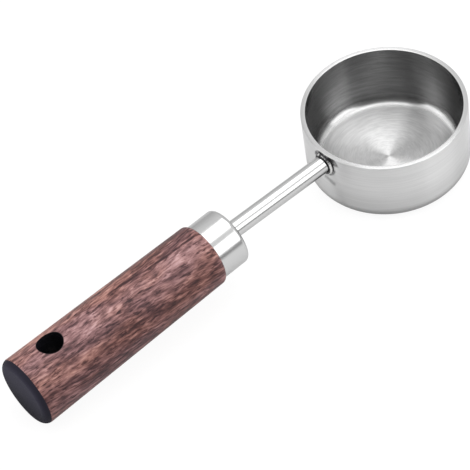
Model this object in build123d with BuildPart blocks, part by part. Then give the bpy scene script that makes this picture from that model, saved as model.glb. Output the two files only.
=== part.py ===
from build123d import *
import os
from math import asin, atan2, degrees, hypot

os.makedirs("parts", exist_ok=True)

# A measuring spoon for one level tablespoon, 15 ml, in millimetres.
# The cup stands on its base at the origin with its axis on Z, and the handle reaches out along -X.

# Cup: drawn steel, outer sizes
rim_radius = 18.5
base_draw_in = 0.15  # the wall leans in by this much from the rim to the base
cup_height = 17.0
wall = 1.05
floor_thickness = 1.1
base_corner_radius = 3.5
rim_break = 0.15  # rounding on both edges of the flat rim

# Rod between the cup and the handle
rod_radius = 2.0
rod_length = 27.0  # in the open, from the cup's wall to the ferrule
rod_edge_drop = 1.3  # from the rim down to the top of the rod
tang_margin = 10.0  # wood between the tip of the tang and the hanging hole
tang_tip_chamfer = 0.5
groove_count = 4  # glue grooves, spread evenly along the tang
groove_width = 1.2
groove_depth = 0.3

# Weld bead where the rod meets the cup
bead_standoff = 0.45  # from the rod's surface to the middle of the bead
bead_thickness_radius = 0.6
tack_radius = 0.75  # the tack weld's blob on the bead
tack_angle = 25.0  # from the top of the bead round towards +Y, in degrees

# Ferrule
ferrule_radius = 6.75
ferrule_length = 7.0
ferrule_front = 1.2  # thickness of its closed front
ferrule_wall = 0.8
ferrule_front_round = 1.5
ferrule_back_round = 0.35

# Wooden grip
grip_length = 49.4  # from the ferrule to the cap, without the tenon
grip_front_radius = 7.4
grip_butt_radius = 8.15
grip_front_round = 1.05
tenon_chamfer = 0.5
hanging_hole_radius = 3.0
hanging_hole_setback = 10.0  # from the end of the handle to the middle of the hole
hanging_hole_angle = 6.2  # the hole's axis leans off the upright towards +Y, in degrees

# End cap
cap_edge_round = 1.7
cap_land = 0.1  # straight edge between the wood and the rounding
recess_wall = 3.1  # wood round the recess for the cap's spigot
spigot_share = 0.62  # of the wood between the cap and the hanging hole
spigot_chamfer = 0.4

# Fits
rod_clearance = 0.05  # round the rod in the ferrule's front
glue_gap = 0.1  # round the tang in the wood
tenon_clearance = 0.05  # round the tenon in the ferrule
spigot_clearance = 0.05  # round the cap's spigot
end_gap = 0.3  # past the end of the tang, the tenon and the spigot
butt_lift = 0.1  # between the table and the lowest edge of the handle
overrun = 1.0  # how far a cut or a trimmed end goes past what it meets

# Places along the handle, measured from the cup's wall
base_radius = rim_radius - base_draw_in
rod_height = cup_height - rod_edge_drop - rod_radius
rod_foot_radius = base_radius + base_draw_in * rod_height / cup_height
bead_ring_radius = rod_radius + bead_standoff
ferrule_start = rod_length
grip_start = ferrule_start + ferrule_length
grip_end = grip_start + grip_length
butt_end = grip_end + cap_land + cap_edge_round
tenon_start = ferrule_start + ferrule_front + end_gap
tenon_radius = ferrule_radius - ferrule_wall - tenon_clearance
hole_place = butt_end - hanging_hole_setback
tang_end = hole_place - hanging_hole_radius - tang_margin
groove_spacing = (tang_end - grip_start) / (groove_count + 1)
bore_radius = rod_radius + glue_gap
spigot_start = grip_end - spigot_share * (grip_end - hole_place - hanging_hole_radius)
recess_radius = grip_butt_radius - recess_wall
spigot_radius = recess_radius - spigot_clearance

# The handle falls from the cup by the angle at which its lowest edge just clears the table.
low_edge_reach = butt_end - cap_edge_round
edge_slope = atan2(grip_butt_radius, low_edge_reach)
handle_fall = degrees(asin((rod_height - butt_lift) / hypot(low_edge_reach, grip_butt_radius)) - edge_slope)

# Profiles of the handle are drawn on this plane: X runs from the cup to the butt, Y is the radius.
handle_plane = Plane(origin=(-rod_foot_radius, 0, rod_height), x_dir=(-1, 0, 0), z_dir=(0, 1, 0))
handle_plane = handle_plane.rotated((0, -handle_fall, 0))
handle_axis = Axis(handle_plane.origin, handle_plane.x_dir)


# The corner of a profile that lies at or nearest to a point.
def corner(profile, x, y):
    return profile.vertices().sort_by_distance((x, y, 0))[0]


# The cup's outer shape as a full solid: it trims what is fitted against the wall.
with BuildPart() as cup_envelope:
    with BuildSketch(Plane.XZ) as envelope_profile:
        with BuildLine():
            Polyline((0, 0), (base_radius, 0), (rim_radius, cup_height), (0, cup_height), close=True)
        make_face()
        fillet(corner(envelope_profile, base_radius, 0), base_corner_radius)
    revolve(axis=Axis.Z)

with BuildPart() as cup:
    with BuildSketch(Plane.XZ) as cup_profile:
        with BuildLine():
            Polyline(
                (0, 0),
                (base_radius, 0),
                (rim_radius, cup_height),
                (rim_radius - wall, cup_height),
                (base_radius - wall, floor_thickness),
                (0, floor_thickness),
                close=True,
            )
        make_face()
        fillet(corner(cup_profile, base_radius, 0), base_corner_radius)
        fillet(corner(cup_profile, base_radius - wall, floor_thickness), base_corner_radius - wall)
        fillet(corner(cup_profile, rim_radius, cup_height), rim_break)
        fillet(corner(cup_profile, rim_radius - wall, cup_height), rim_break)
    revolve(axis=Axis.Z)

# The rod's end is coped to the round of the wall, and its tang is grooved for the glue.
with BuildPart() as rod:
    with BuildSketch(handle_plane) as rod_profile:
        with BuildLine():
            Polyline((-overrun, 0), (-overrun, rod_radius), (tang_end, rod_radius), (tang_end, 0), close=True)
        make_face()
        chamfer(corner(rod_profile, tang_end, rod_radius), tang_tip_chamfer)
    revolve(axis=handle_axis)
    with BuildSketch(handle_plane):
        for groove in range(groove_count):
            with Locations((grip_start + (groove + 1) * groove_spacing, rod_radius)):
                Rectangle(groove_width, groove_depth * 2)
    revolve(axis=handle_axis, mode=Mode.SUBTRACT)
    add(cup_envelope.part, mode=Mode.SUBTRACT)

# The bead is a ring of weld metal in the corner between the wall and the rod, with the blob
# of the tack weld on it.
tack_place = handle_plane.origin + handle_plane.y_dir.rotate(handle_axis, tack_angle) * bead_ring_radius
with BuildPart() as weld_bead:
    with BuildSketch(handle_plane):
        with Locations((0, bead_ring_radius)):
            Circle(bead_thickness_radius)
    revolve(axis=handle_axis)
    with Locations(tack_place):
        Sphere(tack_radius)
    add(rod.part, mode=Mode.SUBTRACT)
    add(cup_envelope.part, mode=Mode.SUBTRACT)

# The ferrule is a short cap with a hole in its front for the rod.
with BuildPart() as ferrule:
    with BuildSketch(handle_plane) as ferrule_profile:
        with BuildLine():
            Polyline(
                (ferrule_start, rod_radius + rod_clearance),
                (ferrule_start, ferrule_radius),
                (grip_start, ferrule_radius),
                (grip_start, ferrule_radius - ferrule_wall),
                (ferrule_start + ferrule_front, ferrule_radius - ferrule_wall),
                (ferrule_start + ferrule_front, rod_radius + rod_clearance),
                close=True,
            )
        make_face()
        fillet(corner(ferrule_profile, ferrule_start, ferrule_radius), ferrule_front_round)
        fillet(corner(ferrule_profile, grip_start, ferrule_radius), ferrule_back_round)
    revolve(axis=handle_axis)

# The grip has a tenon for the ferrule, a blind bore for the tang, a recess for the cap's
# spigot and a hanging hole right through.
hole_plane = Plane(
    origin=handle_plane.from_local_coords((hole_place, 0, 0)),
    x_dir=handle_plane.x_dir,
    z_dir=handle_plane.y_dir.rotate(handle_axis, hanging_hole_angle),
)
with BuildPart() as grip:
    with BuildSketch(handle_plane) as grip_profile:
        with BuildLine():
            Polyline(
                (tenon_start, bore_radius),
                (tenon_start, tenon_radius),
                (grip_start, tenon_radius),
                (grip_start, grip_front_radius),
                (grip_end, grip_butt_radius),
                (grip_end, recess_radius),
                (spigot_start - end_gap, recess_radius),
                (spigot_start - end_gap, 0),
                (tang_end + end_gap, 0),
                (tang_end + end_gap, bore_radius),
                close=True,
            )
        make_face()
        chamfer(corner(grip_profile, tenon_start, tenon_radius), tenon_chamfer)
        fillet(corner(grip_profile, grip_start, grip_front_radius), grip_front_round)
    revolve(axis=handle_axis)
    with BuildSketch(hole_plane):
        Circle(hanging_hole_radius)
    extrude(amount=grip_butt_radius + overrun, both=True, mode=Mode.SUBTRACT)

# The cap covers the end grain, and its spigot is glued into the recess.
with BuildPart() as end_cap:
    with BuildSketch(handle_plane) as cap_profile:
        with BuildLine():
            Polyline(
                (spigot_start, 0),
                (spigot_start, spigot_radius),
                (grip_end, spigot_radius),
                (grip_end, grip_butt_radius),
                (butt_end, grip_butt_radius),
                (butt_end, 0),
                close=True,
            )
        make_face()
        chamfer(corner(cap_profile, spigot_start, spigot_radius), spigot_chamfer)
        fillet(corner(cap_profile, butt_end, grip_butt_radius), cap_edge_round)
    revolve(axis=handle_axis)

cup.part.label = "cup"
rod.part.label = "rod"
weld_bead.part.label = "weld_bead"
ferrule.part.label = "ferrule"
grip.part.label = "grip"
end_cap.part.label = "end_cap"

export_step(cup.part, "parts/cup.step")
export_step(rod.part, "parts/rod.step")
export_step(weld_bead.part, "parts/weld_bead.step")
export_step(ferrule.part, "parts/ferrule.step")
export_step(grip.part, "parts/grip.step")
export_step(end_cap.part, "parts/end_cap.step")

hollow = cup_envelope.part.volume - cup.part.volume
print("The cup holds about", round(hollow / 1000, 2), "ml, and the handle falls by", round(handle_fall, 2))
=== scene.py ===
import math
import random

import bmesh
import bpy
from mathutils import Matrix, Quaternion, Vector


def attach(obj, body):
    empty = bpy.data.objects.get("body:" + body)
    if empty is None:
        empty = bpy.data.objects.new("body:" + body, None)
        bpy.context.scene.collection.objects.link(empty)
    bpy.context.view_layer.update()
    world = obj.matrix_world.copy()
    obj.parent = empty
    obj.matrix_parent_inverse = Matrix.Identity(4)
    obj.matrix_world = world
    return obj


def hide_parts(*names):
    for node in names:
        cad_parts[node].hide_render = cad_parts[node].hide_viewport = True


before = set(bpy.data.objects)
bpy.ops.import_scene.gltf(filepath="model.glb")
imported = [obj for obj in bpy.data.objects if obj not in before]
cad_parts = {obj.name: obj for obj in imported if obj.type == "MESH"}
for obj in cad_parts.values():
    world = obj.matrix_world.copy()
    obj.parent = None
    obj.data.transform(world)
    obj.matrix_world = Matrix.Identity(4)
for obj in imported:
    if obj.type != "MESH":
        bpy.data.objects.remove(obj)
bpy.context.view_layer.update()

mm = 0.001
sharpAngle = 35  # degrees between two faces from which their edge is shaded as sharp
nearby = 0.0005  # vertices closer than this are one, in mm
scene = bpy.context.scene


# The handle's own frame: local Z runs from the cup's wall to the butt, local X is up
handle = {
    "start": (-18.4709, 0.0, 13.7),  # where the rod's axis meets the cup's wall
    "fall": 3.754,  # degrees
    # the rod runs a little out of line with the grip: place along the handle, shift towards +Y
    "rodShift": ((0.0, -0.5), (27.0, 0.38), (31.0, 0.0)),
}
fallAngle = math.radians(handle["fall"])
alongHandle = Vector((-math.cos(fallAngle), 0, -math.sin(fallAngle)))
upHandle = Vector((-math.sin(fallAngle), 0, math.cos(fallAngle)))
sideHandle = Vector((0, 1, 0))
handleStart = Vector(handle["start"])
handleMatrix = Matrix((
    (upHandle.x, sideHandle.x, alongHandle.x, handleStart.x),
    (upHandle.y, sideHandle.y, alongHandle.y, handleStart.y),
    (upHandle.z, sideHandle.z, alongHandle.z, handleStart.z),
    (0, 0, 0, 1),
))


def rodShift(along):
    places = handle["rodShift"]
    for (low, atLow), (high, atHigh) in zip(places, places[1:]):
        if along <= high:
            return atLow + (atHigh - atLow) * max(0.0, along - low) / (high - low)
    return 0.0


def joinUp(bm):
    bmesh.ops.remove_doubles(bm, verts=bm.verts, dist=nearby)
    bmesh.ops.recalc_face_normals(bm, faces=bm.faces)


def spinRound(bm, steps):
    # turns all that is in the mesh once round local Z
    bmesh.ops.spin(
        bm,
        geom=bm.verts[:] + bm.edges[:],
        cent=(0, 0, 0),
        axis=(0, 0, 1),
        angle=math.tau,
        steps=steps,
        use_merge=True,
    )
    joinUp(bm)


def turnProfile(points, steps):
    # points are (distance along the axis, radius) in mm
    bm = bmesh.new()
    verts = [bm.verts.new((radius, 0, along)) for along, radius in points]
    for pair in zip(verts, verts[1:]):
        bm.edges.new(pair)
    spinRound(bm, steps)
    return bm


def ringEdges(bm, along, radius):
    # the loop of edges that a corner of the profile left behind
    def onRing(vert):
        offRadius = math.hypot(vert.co.x, vert.co.y) - radius
        return max(abs(vert.co.z - along), abs(offRadius)) < 2 * nearby

    return [edge for edge in bm.edges if onRing(edge.verts[0]) and onRing(edge.verts[1])]


def edgeArc(edge, low, high, steps):
    # points of a rounded edge between two places along the handle
    points = []
    first = math.asin((low - edge["from"]) / edge["round"])
    last = math.asin(min(1.0, (high - edge["from"]) / edge["round"]))
    for step in range(steps + 1):
        turn = first + (last - first) * step / steps
        drop = edge["round"] * (1 - math.cos(turn))
        points.append((edge["from"] + edge["round"] * math.sin(turn), edge["radius"] - drop))
    return points


def roundRing(bm, along, radius, size, segments):
    bmesh.ops.bevel(
        bm,
        geom=ringEdges(bm, along, radius),
        offset=size,
        offset_type="OFFSET",
        segments=segments,
        profile=0.5,
        affect="EDGES",
        clamp_overlap=False,
        material=-1,
    )


def toMesh(bm, name):
    mesh = bpy.data.meshes.new(name)
    bm.to_mesh(mesh)
    bm.free()
    return mesh


def toObject(data, name):
    thing = bpy.data.objects.new(name, data)
    scene.collection.objects.link(thing)
    return thing


def finishPiece(bm, name, node, material, matrix=None):
    if matrix is not None:
        bmesh.ops.transform(bm, matrix=matrix, verts=bm.verts)
    bmesh.ops.scale(bm, vec=(mm, mm, mm), verts=bm.verts)
    mesh = toMesh(bm, name)
    mesh.polygons.foreach_set("use_smooth", [True] * len(mesh.polygons))
    mesh.set_sharp_from_angle(angle=math.radians(sharpAngle))
    mesh.materials.append(material)
    piece = toObject(mesh, name)
    weighted = piece.modifiers.new("evenShading", "WEIGHTED_NORMAL")
    weighted.keep_sharp = True
    weighted.weight = 100
    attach(piece, "root")
    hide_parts(node)


class NodeBench:
    # adds nodes to one tree and joins them
    def __init__(self, tree):
        self.tree = tree
        self.column = 0

    def add(self, kind, settings=None, values=None):
        node = self.tree.nodes.new(kind)
        node.location = (self.column * 180, 0)
        self.column += 1
        for key, value in (settings or {}).items():
            setattr(node, key, value)
        for key, value in (values or {}).items():
            node.inputs[key].default_value = value
        return node

    def join(self, source, target):
        self.tree.links.new(source, target)

    def feed(self, value, socket):
        # a socket takes a number, a colour or what another node gives
        if isinstance(value, (int, float)):
            socket.default_value = value
        elif isinstance(value, tuple):
            socket.default_value = (*value, 1)
        else:
            self.join(value, socket)

    def maths(self, operation, *values):
        node = self.add("ShaderNodeMath", {"operation": operation})
        for socket, value in zip(node.inputs, values):
            self.feed(value, socket)
        return node.outputs[0]

    def times(self, first, *others):
        for other in others:
            first = self.maths("MULTIPLY", first, other)
        return first

    def most(self, first, *others):
        for other in others:
            first = self.maths("MAXIMUM", first, other)
        return first

    def apart(self, value, middle):
        return self.maths("ABSOLUTE", self.maths("SUBTRACT", value, middle))

    def length(self, x, y):
        return self.maths("SQRT", self.maths("ADD", self.times(x, x), self.times(y, y)))

    def angle(self, y, x):
        # in degrees
        return self.maths("DEGREES", self.maths("ARCTAN2", y, x))

    def span(self, value, low, high, toLow=0.0, toHigh=1.0, smooth=True):
        kind = "SMOOTHSTEP" if smooth else "LINEAR"
        ends = {"From Min": low, "From Max": high, "To Min": toLow, "To Max": toHigh}
        node = self.add("ShaderNodeMapRange", {"interpolation_type": kind, "clamp": True}, ends)
        self.join(value, node.inputs["Value"])
        return node.outputs[0]

    def noise(self, vector, scale, detail=2.0, roughness=0.5, distortion=0.0, output="Fac"):
        looks = {"Scale": scale, "Detail": detail, "Roughness": roughness, "Distortion": distortion}
        node = self.add("ShaderNodeTexNoise", {}, looks)
        self.join(vector, node.inputs["Vector"])
        return node.outputs[output]

    def level(self, noise, low=0.0, high=1.0):
        # most of a noise lies between 0.3 and 0.7
        return self.span(noise, 0.3, 0.7, low, high)

    def vector(self, *values):
        node = self.add("ShaderNodeCombineXYZ")
        for socket, value in zip(node.inputs, values):
            self.feed(value, socket)
        return node.outputs[0]

    def grey(self, level):
        return self.vector(level, level, level)

    def split(self, vector):
        node = self.add("ShaderNodeSeparateXYZ")
        self.join(vector, node.inputs[0])
        return node.outputs[0], node.outputs[1], node.outputs[2]

    def mapped(self, vector, size, turn=(0, 0, 0), move=(0, 0, 0)):
        values = {"Location": move, "Rotation": turn, "Scale": size}
        node = self.add("ShaderNodeMapping", {}, values)
        self.join(vector, node.inputs["Vector"])
        return node.outputs[0]

    def vectorMaths(self, operation, first, second=None, third=None):
        node = self.add("ShaderNodeVectorMath", {"operation": operation})
        self.join(first, node.inputs[0])
        if second is not None:
            node.inputs[1].default_value = second
        if third is not None:
            self.join(third, node.inputs[2])
        gives = "Value" if operation in ("DISTANCE", "DOT_PRODUCT", "LENGTH") else "Vector"
        return node.outputs[gives]

    def alongAxis(self, place, start, direction):
        # how far a place lies along an axis, in mm
        arm = self.vectorMaths("SUBTRACT", place, start * mm)
        return self.vectorMaths("DOT_PRODUCT", arm, direction / mm)

    def offAxis(self, place, start, direction):
        # how far a place lies from an axis, in mm
        arm = self.vectorMaths("SUBTRACT", place, start * mm)
        return self.vectorMaths("LENGTH", self.vectorMaths("CROSS_PRODUCT", arm, direction / mm))

    def mix(self, factor, first, second, blend="MIX"):
        # between two colours
        node = self.add("ShaderNodeMix", {"data_type": "RGBA", "blend_type": blend})
        self.feed(factor, node.inputs[0])
        self.feed(first, node.inputs[6])
        self.feed(second, node.inputs[7])
        return node.outputs[2]

    def between(self, factor, first, second):
        # between two numbers
        node = self.add("ShaderNodeMix", {"data_type": "FLOAT"})
        self.feed(factor, node.inputs[0])
        self.feed(first, node.inputs[2])
        self.feed(second, node.inputs[3])
        return node.outputs[0]

    def bump(self, height, strength, distance):
        node = self.add("ShaderNodeBump", {}, {"Strength": strength, "Distance": distance})
        self.join(height, node.inputs["Height"])
        return node.outputs[0]


def newMaterial(name, metallic, anisotropic=0.0):
    material = bpy.data.materials.new(name)
    material.use_nodes = True
    bench = NodeBench(material.node_tree)
    shader = material.node_tree.nodes["Principled BSDF"]
    shader.inputs["Metallic"].default_value = metallic
    shader.inputs["Anisotropic"].default_value = anisotropic
    return material, bench, shader


def objectPlace(bench):
    # the place on the piece, in metres from the origin
    return bench.add("ShaderNodeTexCoord").outputs["Object"]


# Camera, where the photograph was taken from
camera = {
    "place": (-0.315284, -0.405314, 0.559297),
    "right": (0.75588021, -0.64639654, -0.10400305),
    "up": (0.54060313, 0.52660798, 0.65607338),
    "back": (-0.36931473, -0.55213726, 0.74749654),
    "lens": 260.07,
    "sensor": 36.0,
    "nearest": 0.01,
    "farthest": 20,
}
cameraData = bpy.data.cameras.new("camera")
cameraData.lens = camera["lens"]
cameraData.sensor_width = camera["sensor"]
cameraData.clip_start = camera["nearest"]
cameraData.clip_end = camera["farthest"]
cameraObject = toObject(cameraData, "camera")
cameraMatrix = Matrix((camera["right"], camera["up"], camera["back"])).transposed().to_4x4()
cameraMatrix.translation = camera["place"]
cameraObject.matrix_world = cameraMatrix
scene.camera = cameraObject
print("camera set")


# Studio: floor, softboxes and the room round them
studio = {
    "middle": (-0.043, 0.0, 0.008),
    "floorSize": 6.0,
    "floorDrop": 0.00002,  # below the cup's foot
    "floorColour": 0.55,
    "floorRoughness": 0.9,
    "seenPaper": 0.13,  # the floor as the camera sees it: this much paper in the room's light
    "seenGlow": 0.91,  # and this much even white
    "mirroredPaper": 0.65,  # the floor as the metal mirrors it
    "mirroredGlow": 0.28,
    "pool": {"middle": (-0.04, -0.05, 0.0), "near": 0.04, "far": 0.28, "low": 0.6},  # of its light
    "boxDistance": 1.2,
    "sideBox": {"azimuth": -62, "elevation": 32, "size": (0.85, 0.8), "turn": 0, "glow": 1.53},
    "topBox": {"azimuth": 16, "elevation": 78, "size": (0.8, 1.09), "turn": 20, "glow": 1.65},
    "horizon": {"facing": 20, "low": 0.45, "high": 0.85},  # the room's level, darkest behind
    "roomTop": 1.02,
    "roomRise": (0.1, 0.9),  # heights between which the horizon's level turns into the top's
    "walls": (
        {"azimuth": -150, "half": 38, "glow": 0.15},
        {"azimuth": -108, "half": 12, "glow": 0.45},
        {"azimuth": 153, "half": 17, "glow": 1.7},
    ),
    "wallSoftness": 4,  # degrees
    "wallFoot": (0.1, 0.25),  # heights between which the walls fade in
    "wallTop": (0.86, 0.72),  # and out
}


def towards(azimuth, elevation):
    a, e = math.radians(azimuth), math.radians(elevation)
    return Vector((math.cos(a) * math.cos(e), math.sin(a) * math.cos(e), math.sin(e)))


def addSoftbox(name):
    box = studio[name]
    light = bpy.data.lights.new(name, "AREA")
    light.shape = "RECTANGLE"
    light.size, light.size_y = box["size"]
    light.energy = box["glow"] * light.size * light.size_y * math.pi
    lightObject = toObject(light, name)
    direction = towards(box["azimuth"], box["elevation"])
    lightObject.location = Vector(studio["middle"]) + direction * studio["boxDistance"]
    lightObject.rotation_mode = "QUATERNION"
    turn = Quaternion((0, 0, 1), math.radians(box["turn"]))
    lightObject.rotation_quaternion = direction.to_track_quat("Z", "Y") @ turn
    lightObject.visible_camera = False


def makeFloor():
    bm = bmesh.new()
    bmesh.ops.create_grid(bm, x_segments=1, y_segments=1, size=studio["floorSize"] / 2)
    bmesh.ops.translate(bm, vec=(0, 0, -studio["floorDrop"]), verts=bm.verts)
    mesh = toMesh(bm, "floor")
    material, bench, shader = newMaterial("floorHighlights", 0.0)
    shader.inputs["Base Color"].default_value = (studio["floorColour"],) * 3 + (1,)
    shader.inputs["Roughness"].default_value = studio["floorRoughness"]
    shader.inputs["Specular IOR Level"].default_value = 0.0

    def glowingPaper(paperColour, glowStrength):
        paper = bench.add("ShaderNodeBsdfDiffuse")
        bench.feed(paperColour, paper.inputs["Color"])
        glow = bench.add("ShaderNodeEmission", {}, {"Color": (1, 1, 1, 1)})
        bench.feed(glowStrength, glow.inputs["Strength"])
        lit = bench.add("ShaderNodeAddShader")
        bench.join(paper.outputs[0], lit.inputs[0])
        bench.join(glow.outputs[0], lit.inputs[1])
        return lit.outputs[0]

    def swapFor(ray, plain, special):
        swap = bench.add("ShaderNodeMixShader")
        bench.join(ray, swap.inputs[0])
        bench.join(plain, swap.inputs[1])
        bench.join(special, swap.inputs[2])
        return swap.outputs[0]

    pool = studio["pool"]
    fromPool = bench.vectorMaths("DISTANCE", objectPlace(bench), pool["middle"])
    fade = bench.span(fromPool, pool["near"], pool["far"], 1.0, pool["low"], smooth=False)
    paperInMetal = bench.mix(fade, (0.0, 0.0, 0.0), (studio["mirroredPaper"],) * 3)
    inMetal = glowingPaper(paperInMetal, bench.times(fade, studio["mirroredGlow"]))
    seen = glowingPaper((studio["seenPaper"],) * 3, studio["seenGlow"])
    path = bench.add("ShaderNodeLightPath")
    mirrored = bench.most(path.outputs["Is Glossy Ray"], path.outputs["Is Transmission Ray"])
    surface = swapFor(mirrored, shader.outputs[0], inMetal)
    surface = swapFor(path.outputs["Is Camera Ray"], surface, seen)
    bench.join(surface, material.node_tree.nodes["Material Output"].inputs["Surface"])
    mesh.materials.append(material)
    floor = toObject(mesh, "floor")


def makeRoom():
    world = bpy.data.worlds.new("room")
    scene.world = world
    world.use_nodes = True
    bench = NodeBench(world.node_tree)
    background = world.node_tree.nodes["Background"]
    x, y, z = bench.split(bench.add("ShaderNodeTexCoord").outputs["Generated"])
    level = bench.most(bench.length(x, y), 0.001)

    def ahead(azimuth):
        # 1 straight towards an azimuth and -1 straight away from it
        facing = towards(azimuth, 0)
        reach = bench.maths("ADD", bench.times(x, facing.x), bench.times(y, facing.y))
        return bench.maths("DIVIDE", reach, level)

    horizon = studio["horizon"]
    low = bench.span(ahead(horizon["facing"]), 0.0, 1.0, horizon["low"], horizon["high"])
    room = bench.between(bench.span(z, *studio["roomRise"]), low, studio["roomTop"])
    upright = bench.times(bench.span(z, *studio["wallFoot"]), bench.span(z, *studio["wallTop"]))
    soft = studio["wallSoftness"]
    for wall in studio["walls"]:
        edge = [math.cos(math.radians(wall["half"] + step)) for step in (soft, -soft)]
        mask = bench.times(bench.span(ahead(wall["azimuth"]), *edge), upright)
        room = bench.between(mask, room, wall["glow"])
    path = bench.add("ShaderNodeLightPath")
    strength = bench.between(path.outputs["Is Camera Ray"], room, 1.0)
    bench.join(strength, background.inputs["Strength"])
    background.inputs["Color"].default_value = (1, 1, 1, 1)


addSoftbox("sideBox")
addSoftbox("topBox")
makeFloor()
makeRoom()
scene.view_settings.view_transform = "Standard"
print("studio set")


# Steel of the cup, the rod and the ferrule, with places on the cup in metres from its foot
steel = {
    "colour": 0.7,  # of the cup's outside
    "colourSpread": 0.025,  # how far the brush marks go to either side of it
    # painted shade: the outside's darker foot, where it mirrors the floor's shade by the cup:
    # heights from and to, share of the colour at each
    "footPaintedShades": ((0.0035, 0.011, 0.84, 1.0), (0.0022, 0.0042, 0.6, 1.0)),
    "rimColour": 0.62,
    "rimHeights": (0.01694, 0.01699),
    "insideRadius": 0.01785,
    "insideHeight": 0.0009,
    # stretches round the cup are given by their middle and half their width, in degrees
    "cornerColour": 0.6,
    # painted highlight in the inside corner: paler in one stretch, and reaching higher up the wall
    # in two others
    "highlitCornerColour": 0.98,
    "cornerHighlight": (-10, 24),
    "cornerHighlightLifts": ((102, 38, 0.0013), (0, 30, 0.0012)),  # where it reaches this much higher
    # painted shade: the inner wall is given a darker colour than steel has, for the dark room it
    # mirrors; its upright bands are painted reflections
    "innerWallShadedColour": 0.27,
    "innerWallSpread": 0.03,
    "innerWallFoot": (0.0012, 0.0017),
    "paleReflectionBands": ((8, 19, 0.5), (93, 19, 0.5)),  # upright, paler by this share
    "paleReflectionFade": (0.0145, 0.009, 0.3, 1.0),  # heights from and to, strength at each
    "darkReflectionBand": (53, 25),
    "darkReflectionSoftness": 5,
    "darkReflectionDrop": 0.26,
    "floorColour": 0.74,  # turned floor inside the cup
    # painted highlights on the turned floor, paler in these stretches
    "highlitFloorColour": 0.93,
    "floorSpread": 0.07,
    "floorTop": (0.00111, 0.00125),
    "floorHighlights": ((-42, 45), (140, 38)),
    "floorEdgeHighlight": (-12, 30),
    "floorEdge": (0.0115, 0.0135),
    # marks that run round the cup: turns, fineness across per metre, detail
    "fineBrush": (2.0, 5200.0, 3.0),
    "broadBrush": (1.3, 2500.0, 2.0),
    "arcs": (3.6, 2600.0, 3.0),  # broken arcs that the tool left inside
    "outsideRoughness": (0.28, 0.36),
    "cornerRoughness": (0.2, 0.24),
    "innerWallRoughness": (0.2, 0.27),
    "floorRoughness": (0.34, 0.42),
    "cupAnisotropy": 1.0,
    "cupBump": (0.25, 0.00003),
    # the rod and the ferrule
    "polishColour": 0.57,
    "polishSpread": 0.03,
    "polishMarks": (90, 2500, 2500),  # per metre along the handle and across it
    "polishRoughness": (0.136, 0.184),
    "edgeTint": 0.8,  # steel mirrors a little less towards its outline
}
# heat tint round the weld, with painted shade in the crevices by the bead and under the rod; in mm
# off the rod's axis and in degrees from its top, positive towards +Y
sootAndShade = {
    "colour": (0.045, 0.044, 0.047),
    "patches": (
        {"ring": (2.6, 3.3), "sector": (-128, 32), "strength": 0.75},
        {"ring": (2.3, 4.4, 0.4), "sector": (-43, 28, 8), "strength": 0.95},
        {"ring": (2.2, 3.25), "sector": (40, 42), "strength": 0.9},
    ),
    # painted shadow of the rod on the wall below it
    "below": {"ring": (2.5, 3.7), "sides": (158, 170), "strength": 0.5},
    # a faint run mark that slants down from the weld
    "run": {
        "drop": 4.35,
        "slant": 17,
        "width": (0.1, 1.15),
        "nearEnd": (0.6, 0.1),
        "farEnd": (-3.2, -2.5),
        "strength": 0.5,
    },
    "grain": 1500.0,
    "ragged": (0.36, 0.54, 0.55, 1.0),
    "outsideRadius": 0.0179,
    "rimStop": (0.01675, 0.01687),  # heights between which it ends below the rim
    # painted dark reflection along the rod's underside near the cup; heat tint with painted shade
    # at its very start
    "rodBellyShade": (-125, 30),
    "rodBellyShadeReach": (3.0, 7.5, 0.85, 0.0),  # from and to along the rod, strength at each
    "rodStart": (0.35, 0.7, 0.65, 0.0),
}


class WeldPlace:
    # a point of the handle's frame near the weld, in mm and degrees, as sockets
    def __init__(self, bench, y, up):
        self.bench = bench
        self.side = bench.maths("MULTIPLY_ADD", y, 1 / mm, -rodShift(0))
        self.up = up
        self.reach = bench.length(self.side, up)
        self.angle = bench.angle(self.side, up)

    def sector(self, middle, half, soft=6.0):
        away = self.bench.apart(self.angle, middle)
        return self.bench.span(away, half - soft, half + soft, 1.0, 0.0)

    def ring(self, inner, outer, soft=0.15):
        rise = self.bench.span(self.reach, inner - soft, inner + soft)
        fall = self.bench.span(self.reach, outer - soft, outer + soft, 1.0, 0.0)
        return self.bench.times(rise, fall)


def wallSootAndShade(bench, place, radius):
    # heat marks that the weld left on the cup's wall, with painted shade and dark reflection
    # between the bead and the rim and under the rod
    x, y, z = bench.split(place)
    spot = WeldPlace(bench, y, bench.maths("MULTIPLY_ADD", z, 1 / mm, -handle["start"][2]))
    marks = []
    for patch in sootAndShade["patches"]:
        shape = bench.times(spot.ring(*patch["ring"]), spot.sector(*patch["sector"]))
        marks.append(bench.times(shape, patch["strength"]))
    below = sootAndShade["below"]
    shape = bench.span(bench.maths("ABSOLUTE", spot.angle), *below["sides"])
    marks.append(bench.times(shape, spot.ring(*below["ring"]), below["strength"]))
    run = sootAndShade["run"]
    slant = math.radians(run["slant"])
    down = bench.maths("ADD", spot.up, run["drop"])
    across = bench.times(down, -math.cos(slant))
    across = bench.maths("MULTIPLY_ADD", spot.side, math.sin(slant), across)
    along = bench.times(down, math.sin(slant))
    along = bench.maths("MULTIPLY_ADD", spot.side, math.cos(slant), along)
    shape = bench.span(bench.maths("ABSOLUTE", across), *run["width"], run["strength"], 0.0)
    ends = bench.times(bench.span(along, *run["nearEnd"]), bench.span(along, *run["farEnd"]))
    marks.append(bench.times(shape, ends))
    ragged = bench.span(bench.noise(place, sootAndShade["grain"], 3.0), *sootAndShade["ragged"])
    outside = bench.maths("GREATER_THAN", radius, sootAndShade["outsideRadius"])
    handleSide = bench.maths("LESS_THAN", x, 0.0)
    belowRim = bench.span(z, *sootAndShade["rimStop"], 1.0, 0.0)
    return bench.times(bench.most(*marks), ragged, outside, handleSide, belowRim)


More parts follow.
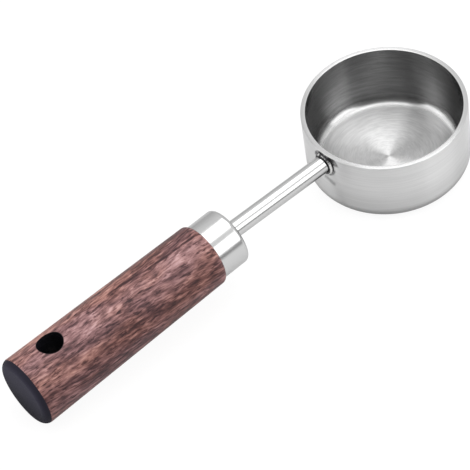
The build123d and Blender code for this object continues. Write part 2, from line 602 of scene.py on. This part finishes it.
def cupSteelMaterial():
    material, bench, shader = newMaterial("cupSteel", 1.0, steel["cupAnisotropy"])
    place = objectPlace(bench)
    x, y, z = bench.split(place)
    radius = bench.length(x, y)
    angle = bench.angle(y, x)
    safeRadius = bench.most(radius, 0.00005)  # so that nothing is divided by 0 on the axis
    across = bench.maths("DIVIDE", x, safeRadius)
    aside = bench.maths("DIVIDE", y, safeRadius)
    alongProfile = bench.maths("SUBTRACT", radius, z)  # grows from the middle out and down the wall

    def brush(turns, fineness, detail):
        way = bench.vector(
            bench.times(across, turns),
            bench.times(aside, turns),
            bench.times(alongProfile, fineness),
        )
        return bench.noise(way, 1.0, detail, 0.6)

    def brushed(marks, level, spread):
        return bench.mix(bench.level(marks), (level - spread,) * 3, (level + spread,) * 3)

    def near(middle, half):
        return bench.span(bench.apart(angle, middle), half, 0.0)

    fineBrush = brush(*steel["fineBrush"])
    broadBrush = brush(*steel["broadBrush"])
    arcs = brush(*steel["arcs"])
    # the masks of the cup's parts
    inside = bench.times(
        bench.maths("LESS_THAN", radius, steel["insideRadius"]),
        bench.maths("GREATER_THAN", z, steel["insideHeight"]),
    )
    lift = 0.0
    for middle, half, height in steel["cornerHighlightLifts"]:
        lift = bench.maths("MULTIPLY_ADD", near(middle, half), height, lift)
    upWall = bench.span(bench.maths("SUBTRACT", z, lift), *steel["innerWallFoot"])
    innerWall = bench.times(inside, upWall)
    turnedFloor = bench.times(inside, bench.span(z, *steel["floorTop"], 1.0, 0.0))
    rim = bench.span(z, *steel["rimHeights"])
    # painted shade: the outside darkens towards its foot, as it mirrors the floor's shade next to
    # the cup
    footShade = bench.times(*[bench.span(z, *shade) for shade in steel["footPaintedShades"]])
    outside = brushed(broadBrush, steel["colour"], steel["colourSpread"])
    outside = bench.mix(1.0, outside, footShade, "MULTIPLY")
    highlit = near(*steel["cornerHighlight"])
    corner = bench.between(highlit, steel["cornerColour"], steel["highlitCornerColour"])
    colour = bench.mix(inside, outside, bench.grey(corner))
    # painted reflections: the inner wall has paler and darker upright bands where it mirrors bright
    # and dark parts of the room
    lowDown = bench.span(z, *steel["paleReflectionFade"])
    reflectionBands = 1.0
    for middle, half, gain in steel["paleReflectionBands"]:
        reflectionBands = bench.maths("MULTIPLY_ADD", bench.times(near(middle, half), gain), lowDown, reflectionBands)
    middle, half = steel["darkReflectionBand"]
    soft = steel["darkReflectionSoftness"]
    darkReflection = bench.span(bench.apart(angle, middle), half - soft, half + soft, 1.0, 0.0)
    reflectionBands = bench.maths("MULTIPLY_ADD", darkReflection, -steel["darkReflectionDrop"], reflectionBands)
    wallColour = brushed(arcs, steel["innerWallShadedColour"], steel["innerWallSpread"])
    wallColour = bench.mix(1.0, wallColour, bench.grey(reflectionBands), "MULTIPLY")
    colour = bench.mix(innerWall, colour, wallColour)
    # painted highlights: the floor is paler to both sides, and on the right where it meets the
    # corner
    floorEdge = bench.span(radius, *steel["floorEdge"])
    highlit = [near(*stretch) for stretch in steel["floorHighlights"]]
    highlit.append(bench.times(near(*steel["floorEdgeHighlight"]), floorEdge))
    floorColour = bench.mix(
        bench.most(*highlit),
        brushed(arcs, steel["floorColour"], steel["floorSpread"]),
        brushed(arcs, steel["highlitFloorColour"], steel["floorSpread"]),
    )
    colour = bench.mix(turnedFloor, colour, floorColour)
    colour = bench.mix(rim, colour, (steel["rimColour"],) * 3)
    colour = bench.mix(wallSootAndShade(bench, place, radius), colour, sootAndShade["colour"])
    bench.join(colour, shader.inputs["Base Color"])
    roughness = bench.level(fineBrush, *steel["outsideRoughness"])
    for mask, part in ((inside, "corner"), (innerWall, "innerWall"), (turnedFloor, "floor")):
        there = bench.level(fineBrush, *steel[part + "Roughness"])
        roughness = bench.between(mask, roughness, there)
    bench.join(roughness, shader.inputs["Roughness"])
    bench.join(bench.bump(fineBrush, *steel["cupBump"]), shader.inputs["Normal"])
    # the marks run round the axis, so the gloss spreads across them
    bench.join(bench.vector(bench.times(y, -1.0), x, 0.0), shader.inputs["Tangent"])
    shader.inputs["Anisotropic Rotation"].default_value = 0.25
    return material


def polishedSteelMaterial():
    material, bench, shader = newMaterial("polishedSteel", 1.0)
    place = objectPlace(bench)
    marks = bench.noise(bench.mapped(place, steel["polishMarks"], (0, -fallAngle, 0)), 1.0, 3.0)
    level, spread = steel["polishColour"], steel["polishSpread"]
    colour = bench.mix(marks, (level - spread,) * 3, (level + spread,) * 3)
    # the rod is darkened where the weld holds it, by heat tint with painted shade, and for a few mm
    # along its underside by a painted dark reflection
    along = bench.alongAxis(place, handleStart, alongHandle)
    spot = WeldPlace(bench, bench.split(place)[1], bench.alongAxis(place, handleStart, upHandle))
    bellyShade = bench.times(spot.sector(*sootAndShade["rodBellyShade"]), bench.span(along, *sootAndShade["rodBellyShadeReach"]))
    sootedAndShaded = bench.most(bellyShade, bench.span(along, *sootAndShade["rodStart"]))
    bench.join(bench.mix(sootedAndShaded, colour, sootAndShade["colour"]), shader.inputs["Base Color"])
    bench.join(bench.level(marks, *steel["polishRoughness"]), shader.inputs["Roughness"])
    shader.inputs["Specular Tint"].default_value = (*(steel["edgeTint"],) * 3, 1)
    return material


cupSteel = cupSteelMaterial()
polishedSteel = polishedSteelMaterial()


# Cup
cup = {
    "rimRadius": 18.5,
    "baseRadius": 18.35,
    "height": 17.0,
    "wall": 1.05,
    "floor": 1.1,
    "cornerRadius": 3.5,
    "rimBreak": 0.15,
    "innerRimBreak": 0.05,
    "segments": 256,
    "turnedRings": 40,  # tool marks on the floor inside
    "ringDepth": 0.007,
    "ringInset": 0.05,
    "ringLeast": 0.3,  # the radius within which there are none
}


def makeCup():
    inner = cup["baseRadius"] - cup["wall"]
    rimInner = cup["rimRadius"] - cup["wall"]
    floorEdge = inner - (cup["cornerRadius"] - cup["wall"])
    marks = random.Random(7)
    rings = []
    for ring in range(cup["turnedRings"]):
        radius = floorEdge * (1 - (ring + 0.5) / cup["turnedRings"]) - cup["ringInset"]
        if radius < cup["ringLeast"]:
            continue
        rings.append((cup["floor"] - cup["ringDepth"] * marks.random(), radius))
    points = [
        (0, 0),
        (0, cup["baseRadius"]),
        (cup["height"], cup["rimRadius"]),
        (cup["height"], rimInner),
        (cup["floor"], inner),
        *rings,
        (cup["floor"], 0),
    ]
    bm = turnProfile(points, cup["segments"])
    roundRing(bm, 0, cup["baseRadius"], cup["cornerRadius"], 12)
    roundRing(bm, cup["floor"], inner, cup["cornerRadius"] - cup["wall"], 12)
    roundRing(bm, cup["height"], cup["rimRadius"], cup["rimBreak"], 4)
    roundRing(bm, cup["height"], rimInner, cup["innerRimBreak"], 4)
    finishPiece(bm, "measuring_cup", "cup", cupSteel)


makeCup()
print("cup made")


# Rod
rod = {
    "radius": 2.0,
    "tangEnd": 62.2,
    "tipChamfer": 0.5,
    "grooves": 4,
    "grooveWidth": 1.2,
    "grooveDepth": 0.3,
    "gripStart": 34.0,
    "segments": 96,
}


def wallDistance(point):
    # how far along the handle the cup's wall lies from a point near the joint
    reach = 0.0
    for _ in range(6):
        spot = point + alongHandle * reach
        radius = cup["baseRadius"] + (cup["rimRadius"] - cup["baseRadius"]) * spot.z / cup["height"]
        reach += (-math.sqrt(radius * radius - spot.y * spot.y) - spot.x) / alongHandle.x
    return reach


def makeRod():
    spacing = (rod["tangEnd"] - rod["gripStart"]) / (rod["grooves"] + 1)
    points = [(0.0, 0.0), (0.0, rod["radius"])]
    points += [(place, rod["radius"]) for place, _ in handle["rodShift"][1:]]
    for groove in range(rod["grooves"]):
        middle = rod["gripStart"] + (groove + 1) * spacing
        low, high = middle - rod["grooveWidth"] / 2, middle + rod["grooveWidth"] / 2
        deep = rod["radius"] - rod["grooveDepth"]
        points += [(low, rod["radius"]), (low, deep), (high, deep), (high, rod["radius"])]
    points += [
        (rod["tangEnd"] - rod["tipChamfer"], rod["radius"]),
        (rod["tangEnd"], rod["radius"] - rod["tipChamfer"]),
        (rod["tangEnd"], 0.0),
    ]
    bm = turnProfile(points, rod["segments"])
    for vert in bm.verts:
        vert.co.y += rodShift(vert.co.z)
        if vert.co.z < 0.01:  # the end is coped to the wall
            vert.co.z += wallDistance(handleMatrix @ vert.co)
    finishPiece(bm, "stem_rod", "rod", polishedSteel, handleMatrix)


makeRod()


# Weld bead, with places round it in degrees from its top, positive towards +Y
bead = {
    "ringRadius": 2.3,
    "thickness": 0.5,
    "standOff": 0.15,  # of the bead's core from the wall
    "behindFrom": (30, 60),  # behind the rod it runs out, from here
    "behindTo": (180, 165),  # to here
    "farShare": 0.55,  # to this share of its thickness
    "ripples": 23,
    "rippleDepth": 0.015,
    # painted highlight: the bead is darkened all over but for a bright line along its crest and a
    # spot on the blob's top
    "crest": 40.0,  # from square to the rod towards the butt, where the bead is bright
    "crestHalf": (5.0, 26.0),  # half the bright stretch's width across, on top and lower down
    "crestTurn": (-36, -52),  # where the one turns into the other
    "crestFade": (8, 4),  # how far it fades out past its side and short of it
    "bulge": 0.2,  # the bead swells out where the torch stopped
    "bulgeAngle": -52.0,
    "bulgeReach": 14,
    "highlightFrom": -172.0,  # the stretch whose crest is bright
    "highlightTo": 3.0,
    "highlightFade": 3,
    "tackAngle": 20.0,
    "tackRadius": 0.6,
    "tackReach": 9.0,  # of the bead that the blob spreads over
    "tackHighlight": (0.377, 0.232),  # radii of the blob's bright top, where it ends and where it starts
    "segments": 240,
    "sides": 24,
    "patches": 1800.0,
    "colours": ((0.6, 0.6, 0.59), (0.78, 0.78, 0.77)),
    "roughness": (0.24, 0.36),
    "bump": (0.3, 0.00005),
}


def weldMaterial():
    material, bench, shader = newMaterial("weldMetal", 1.0)
    patches = bench.noise(objectPlace(bench), bead["patches"], 3.0)
    # dark where scorched and shaded, bright along the painted highlight
    scorchAndShade = bench.add("ShaderNodeAttribute", {"attribute_name": "scorchAndShade"}).outputs["Fac"]
    colour = bench.mix(scorchAndShade, bench.mix(patches, *bead["colours"]), sootAndShade["colour"])
    bench.join(colour, shader.inputs["Base Color"])
    bench.join(bench.level(patches, *bead["roughness"]), shader.inputs["Roughness"])
    bench.join(bench.bump(patches, *bead["bump"]), shader.inputs["Normal"])
    return material


def ease(value, low, high):
    share = min(1.0, max(0.0, (value - low) / (high - low)))
    return share * share * (3 - 2 * share)


def bell(value, middle, reach):
    return math.exp(-(((value - middle) / reach) ** 2))


def makeBead():
    bm = bmesh.new()
    bmesh.ops.create_circle(bm, segments=bead["sides"], radius=bead["thickness"], cap_ends=False)
    upright = Matrix.Rotation(math.pi / 2, 3, "X")
    bmesh.ops.rotate(bm, cent=(0, 0, 0), matrix=upright, verts=bm.verts)
    bmesh.ops.translate(bm, vec=(bead["ringRadius"], 0, 0), verts=bm.verts)
    spinRound(bm, bead["segments"])
    scorchAndShade = bm.verts.layers.float.new("scorchAndShade")
    crest = math.radians(bead["crest"])
    tackTurn = math.radians(bead["tackAngle"])
    top = bead["ringRadius"] + bead["tackRadius"] * math.cos(crest)
    height = bead["tackRadius"] * math.sin(crest)
    tackTop = Vector((math.cos(tackTurn) * top, math.sin(tackTurn) * top, height))
    past, short = bead["crestFade"]
    fade = bead["highlightFade"]
    for vert in bm.verts:
        angle = math.atan2(vert.co.y, vert.co.x)
        degrees = math.degrees(angle)
        outward = Vector((math.cos(angle), math.sin(angle), 0))
        arm = vert.co - outward * bead["ringRadius"]
        around = math.degrees(math.atan2(arm.z, arm.dot(outward)))
        swell = bell(degrees, bead["bulgeAngle"], bead["bulgeReach"])
        core = outward * (bead["ringRadius"] + bead["bulge"] * swell)
        blob = bell(degrees, bead["tackAngle"], bead["tackReach"])
        behind = ease(degrees, *bead["behindFrom"]) * ease(degrees, *bead["behindTo"])
        size = bead["thickness"] * (1 - (1 - bead["farShare"]) * behind)
        size += bead["rippleDepth"] * math.sin(angle * bead["ripples"]) * (1 - blob)
        size += (bead["tackRadius"] - size) * blob
        vert.co = core + arm.normalized() * size
        narrow, wide = bead["crestHalf"]
        half = narrow + (wide - narrow) * ease(degrees, *bead["crestTurn"])
        paintedHighlight = ease(abs(around - bead["crest"]), half + past, half - short)
        paintedHighlight *= ease(degrees, bead["highlightTo"] + fade, bead["highlightTo"] - fade)
        paintedHighlight *= ease(degrees, bead["highlightFrom"] - fade, bead["highlightFrom"] + fade)
        paintedHighlight = max(paintedHighlight, ease((vert.co - tackTop).length, *bead["tackHighlight"]))
        # heat tint and painted shade, leaving the painted highlight bright
        vert[scorchAndShade] = 1 - paintedHighlight
        vert.co.y += rodShift(0)
        core.y += rodShift(0)
        vert.co.z += wallDistance(handleMatrix @ core) + bead["standOff"]
    finishPiece(bm, "weld_ring", "weld_bead", weldMaterial(), handleMatrix)


makeBead()
print("rod and weld made")


# Ferrule
ferrule = {
    "start": 27.1,
    "end": 34.22,
    "radius": 6.75,
    "wall": 0.8,
    "front": 1.2,
    "frontRound": 1.1,
    "backRound": 0.1,
    "bore": 2.05,
    "segments": 192,
}


def makeFerrule():
    start, end, outer = ferrule["start"], ferrule["end"], ferrule["radius"]
    inner = outer - ferrule["wall"]
    points = [
        (start, ferrule["bore"]),
        (start, outer),
        (end, outer),
        (end, inner),
        (start + ferrule["front"], inner),
        (start + ferrule["front"], ferrule["bore"]),
        (start, ferrule["bore"]),
    ]
    bm = turnProfile(points, ferrule["segments"])
    roundRing(bm, start, outer, ferrule["frontRound"], 12)
    roundRing(bm, end, outer, ferrule["backRound"], 4)
    finishPiece(bm, "handle_ferrule", "ferrule", polishedSteel, handleMatrix)


makeFerrule()
print("ferrule made")


# Wooden grip
grip = {
    "start": 34.1,
    "end": 83.4,
    "frontRadius": 7.4,
    "buttRadius": 8.15,
    "frontRound": 1.05,
    "tenonStart": 28.5,
    "tenonRadius": 5.9,
    "boreRadius": 2.1,
    "boreEnd": 62.5,
    "recessStart": 79.88,
    "recessRadius": 5.05,
    "holePlace": 75.2,
    "holeRadius": 3.0,
    "holeLean": 6.2,  # degrees off the upright towards +Y
    "holeSegments": 96,
    "drillLength": 24,
    "segments": 192,
    "rings": 40,
}
# the handle's rounded end, which the wood and the cap share: the wood reaches a little way round it
buttEdge = {
    "from": 83.5,
    "round": 1.7,
    "radius": 8.15,
    "border": 83.95,
    "tilt": 1.35,  # degrees out of square
    "tiltTurn": 35.7,  # the short side, in degrees from +Y towards the top
}
wood = {
    "tones": (
        (0.26, (0.046, 0.019, 0.021)),
        (0.39, (0.124, 0.055, 0.053)),
        (0.50, (0.246, 0.12, 0.111)),
        (0.61, (0.405, 0.22, 0.2)),
        (0.74, (0.57, 0.345, 0.32)),
    ),
    # slow waves in the grain: scale along and across per mm, push in mm
    "sways": ((0.045, 0.1, 2.0), (0.3, 0.5, 0.6)),
    # each layer of the grain: scale along and across per mm, shift, detail, weight
    "layers": (
        (0.03, 0.24, 3.0, 1.0, 0.3),
        (0.17, 1.1, 9.0, 2.5, 0.52),
        (0.38, 1.9, 17.0, 2.0, 0.68),
    ),
    "flecks": (0.4, 2.0, 41.0),  # short dark pores: scale along and across, shift
    "fleckTones": (0.56, 0.68, 0.0, 0.17),
    # one long dark vein near the top: its place along and its Y there, for each end, in mm
    "vein": ((34.0, -0.45), (64.0, 1.7)),
    "veinDepth": 0.26,
    "veinHalf": (0.12, 0.42),
    "veinEnd": 9,  # mm over which it fades out
    # painted shade: the wood is darker towards its -Y side, its lower flank
    "beyondVein": 0.06,  # how much darker the wood is on the vein's +Y side
    "shadedSide": 0.06,  # how much darker the wood is towards its -Y side
    "shadedSidePlace": (-0.008, -0.002),
    # a painted sheen: a paler stretch along the top
    "paintedSheen": {"middle": -0.0014, "half": 0.0022, "lift": 0.045},
    "topFrom": 0.008,  # the height above which the wood's top begins
    "hues": (0.06, 0.18, 31.0),
    "hueTones": (0.35, 0.65),
    "warm": (1.06, 0.98, 0.9),
    "cool": (0.96, 0.99, 1.08),
    "bore": (0.006, 0.0055, 0.0085),
    "boreEdge": (3.01, 3.12),
    "gloss": 0.25,
    "roughness": (0.42, 0.6),
    "bump": (0.6, 0.0002),
}
holeLean = math.radians(grip["holeLean"])
holeAxis = upHandle * math.cos(holeLean) + sideHandle * math.sin(holeLean)
holeMiddle = handleStart + alongHandle * grip["holePlace"]


def tiltButt(bm):
    # the handle's end is cut a little out of square
    slope = math.tan(math.radians(buttEdge["tilt"]))
    turn = math.radians(buttEdge["tiltTurn"])
    for vert in bm.verts:
        if vert.co.z > grip["end"] - 0.01:
            vert.co.z -= slope * (vert.co.x * math.sin(turn) + vert.co.y * math.cos(turn))


def woodTones(bench, tone):
    ramp = bench.add("ShaderNodeValToRGB")
    bench.join(tone, ramp.inputs[0])
    stops = ramp.color_ramp.elements
    while len(stops) < len(wood["tones"]):
        stops.new(0.5)
    for stop, (position, shade) in zip(stops, wood["tones"]):
        stop.position = position
        stop.color = (*shade, 1)
    return ramp.outputs[0]


def walnutMaterial():
    material, bench, shader = newMaterial("walnut", 0.0)
    place = objectPlace(bench)
    y, z = bench.split(place)[1:]
    onTop = bench.maths("GREATER_THAN", z, wood["topFrom"])
    grainPlace = bench.mapped(place, (1 / mm,) * 3, (0, -fallAngle, 0))  # in mm, X along the handle

    def stretched(alongScale, acrossScale, shift):
        size = (alongScale, acrossScale, acrossScale)
        return bench.mapped(grainPlace, size, move=(shift, shift * 0.7, shift * 1.3))

    for alongScale, acrossScale, push in wood["sways"]:
        sway = bench.noise(stretched(alongScale, acrossScale, push), 1.0, 1.0, output="Color")
        centred = bench.vectorMaths("SUBTRACT", sway, (0.5, 0.5, 0.5))
        grainPlace = bench.vectorMaths("MULTIPLY_ADD", centred, (0.0, push, push), grainPlace)
    tone = bench.span(y, *wood["shadedSidePlace"], -wood["shadedSide"], 0.0)
    sheen = wood["paintedSheen"]
    lift = bench.span(bench.apart(y, sheen["middle"]), 0.0, sheen["half"], sheen["lift"], 0.0)
    tone = bench.maths("ADD", tone, bench.times(lift, onTop))
    tone = bench.maths("SUBTRACT", tone, sum(layer[-1] for layer in wood["layers"]) / 2 - 0.5)
    for alongScale, acrossScale, shift, detail, weight in wood["layers"]:
        fibres = bench.noise(stretched(alongScale, acrossScale, shift), 1.0, detail, 0.55, 0.2)
        tone = bench.maths("ADD", tone, bench.times(fibres, weight))
    flecks = bench.noise(stretched(*wood["flecks"]), 1.0, 2.0, 0.6)
    tone = bench.maths("SUBTRACT", tone, bench.span(flecks, *wood["fleckTones"]))
    (veinStart, lowSide), (veinEnd, highSide) = wood["vein"]
    grainX, grainY, _ = bench.split(grainPlace)
    fromCup = bench.maths("SUBTRACT", handle["start"][0], grainX)
    course = bench.span(fromCup, veinStart, veinEnd, lowSide, highSide, smooth=False)
    pastVein = bench.maths("SUBTRACT", grainY, course)
    offVein = bench.maths("ABSOLUTE", pastVein)
    vein = bench.span(offVein, *wood["veinHalf"], wood["veinDepth"], 0.0)
    vein = bench.most(vein, bench.span(pastVein, 0.0, 0.4, 0.0, wood["beyondVein"]))
    vein = bench.times(vein, bench.span(fromCup, veinEnd, veinEnd - wood["veinEnd"]), onTop)
    tone = bench.maths("SUBTRACT", tone, vein)
    hue = bench.span(bench.noise(stretched(*wood["hues"]), 1.0), *wood["hueTones"])
    hue = bench.mix(hue, wood["cool"], wood["warm"])
    colour = bench.mix(1.0, woodTones(bench, tone), hue, "MULTIPLY")
    # the hanging hole's wall is coloured near black
    offHole = bench.offAxis(place, holeMiddle, holeAxis)
    colour = bench.mix(bench.span(offHole, *wood["boreEdge"], 1.0, 0.0), colour, wood["bore"])
    bench.join(colour, shader.inputs["Base Color"])
    bench.join(bench.level(fibres, *wood["roughness"]), shader.inputs["Roughness"])
    bench.join(bench.bump(tone, *wood["bump"]), shader.inputs["Normal"])
    shader.inputs["Specular IOR Level"].default_value = wood["gloss"]
    return material


def makeGrip():
    start, end = grip["start"], grip["end"]
    steps = grip["rings"]
    side = []
    for ring in range(1, steps):
        share = ring / steps
        if share * (end - start) < grip["frontRound"] + 0.3:
            continue
        radius = grip["frontRadius"] + (grip["buttRadius"] - grip["frontRadius"]) * share
        side.append((start + (end - start) * share, radius))
    points = [
        (grip["tenonStart"], grip["boreRadius"]),
        (grip["tenonStart"], grip["tenonRadius"]),
        (start, grip["tenonRadius"]),
        (start, grip["frontRadius"]),
        *side,
        (end, grip["buttRadius"]),
        *edgeArc(buttEdge, buttEdge["from"], buttEdge["border"], 3),
        (buttEdge["border"], grip["recessRadius"]),
        (grip["recessStart"], grip["recessRadius"]),
        (grip["recessStart"], 0.0),
    ]
    blind = [
        (grip["boreEnd"], 0.0),
        (grip["boreEnd"], grip["boreRadius"]),
        (grip["tenonStart"], grip["boreRadius"]),
    ]
    bm = turnProfile(points, grip["segments"])
    bm.from_mesh(toMesh(turnProfile(blind, grip["segments"]), "blindBore"))
    joinUp(bm)
    roundRing(bm, start, grip["frontRadius"], grip["frontRound"], 10)
    tiltButt(bm)
    bmesh.ops.transform(bm, matrix=handleMatrix, verts=bm.verts)
    body = toObject(toMesh(bm, "gripBody"), "gripBody")
    # the hanging hole is drilled right through
    drill = bmesh.new()
    bmesh.ops.create_cone(
        drill,
        cap_ends=True,
        segments=grip["holeSegments"],
        radius1=grip["holeRadius"],
        radius2=grip["holeRadius"],
        depth=grip["drillLength"],
    )
    turn = holeAxis.to_track_quat("Z", "X").to_matrix().to_4x4()
    turn.translation = holeMiddle
    bmesh.ops.transform(drill, matrix=turn, verts=drill.verts)
    drillBit = toObject(toMesh(drill, "drill"), "drill")
    cut = body.modifiers.new("hole", "BOOLEAN")
    cut.operation = "DIFFERENCE"
    cut.solver = "EXACT"
    cut.object = drillBit
    bpy.context.view_layer.update()
    graph = bpy.context.evaluated_depsgraph_get()
    drilled = bpy.data.meshes.new_from_object(body.evaluated_get(graph))
    bpy.data.objects.remove(body)
    bpy.data.objects.remove(drillBit)
    bm = bmesh.new()
    bm.from_mesh(drilled)
    print("grip faces", len(bm.faces), "open edges", sum(1 for e in bm.edges if not e.is_manifold))
    finishPiece(bm, "wooden_grip", "grip", walnutMaterial())


makeGrip()
print("grip made")


# End cap
cap = {
    "spigotStart": 80.18,
    "spigotRadius": 5.0,
    "spigotChamfer": 0.4,
    "end": 85.2,
    "segments": 192,
    "colours": ((0.0342, 0.0324, 0.04905), (0.0418, 0.0396, 0.05995)),
    # painted shade: the rounded edge is darker than the face
    "shadedEdgeColour": (0.0225, 0.021, 0.031),
    "shadedEdgeRadii": (6.75, 8.15),  # between which the darker edge begins
    # painted shade and light: the face is darker low down and paler towards its top, as it mirrors
    # the floor
    "shadeHeights": (-6.0, 5.0),  # the face's foot and top
    "fade": (0.45, 1.3),  # and its colour there, as shares of the colour
    "gloss": 0.06,
    "roughness": (0.55, 0.7),
    "bump": (0.25, 0.00003),
}


def capMaterial():
    material, bench, shader = newMaterial("capPlastic", 0.0)
    place = objectPlace(bench)
    specks = bench.noise(place, 4200.0, 3.0, 0.6)
    face = bench.mix(bench.noise(place, 260.0, 2.0), *cap["colours"])
    height = bench.alongAxis(place, handleStart, upHandle)
    fade = bench.span(height, *cap["shadeHeights"], *cap["fade"])
    face = bench.mix(1.0, face, bench.grey(fade), "MULTIPLY")
    edge = bench.span(bench.offAxis(place, handleStart, alongHandle), *cap["shadedEdgeRadii"])
    bench.join(bench.mix(edge, face, cap["shadedEdgeColour"]), shader.inputs["Base Color"])
    bench.join(bench.level(specks, *cap["roughness"]), shader.inputs["Roughness"])
    shader.inputs["Specular IOR Level"].default_value = cap["gloss"]
    bench.join(bench.bump(specks, *cap["bump"]), shader.inputs["Normal"])
    return material


def makeCap():
    points = [
        (cap["spigotStart"], 0.0),
        (cap["spigotStart"], cap["spigotRadius"] - cap["spigotChamfer"]),
        (cap["spigotStart"] + cap["spigotChamfer"], cap["spigotRadius"]),
        (buttEdge["border"], cap["spigotRadius"]),
        *edgeArc(buttEdge, buttEdge["border"], cap["end"], 12),
        (cap["end"], 0.0),
    ]
    bm = turnProfile(points, cap["segments"])
    tiltButt(bm)
    finishPiece(bm, "butt_cap", "end_cap", capMaterial(), handleMatrix)


makeCap()
print("cap made")
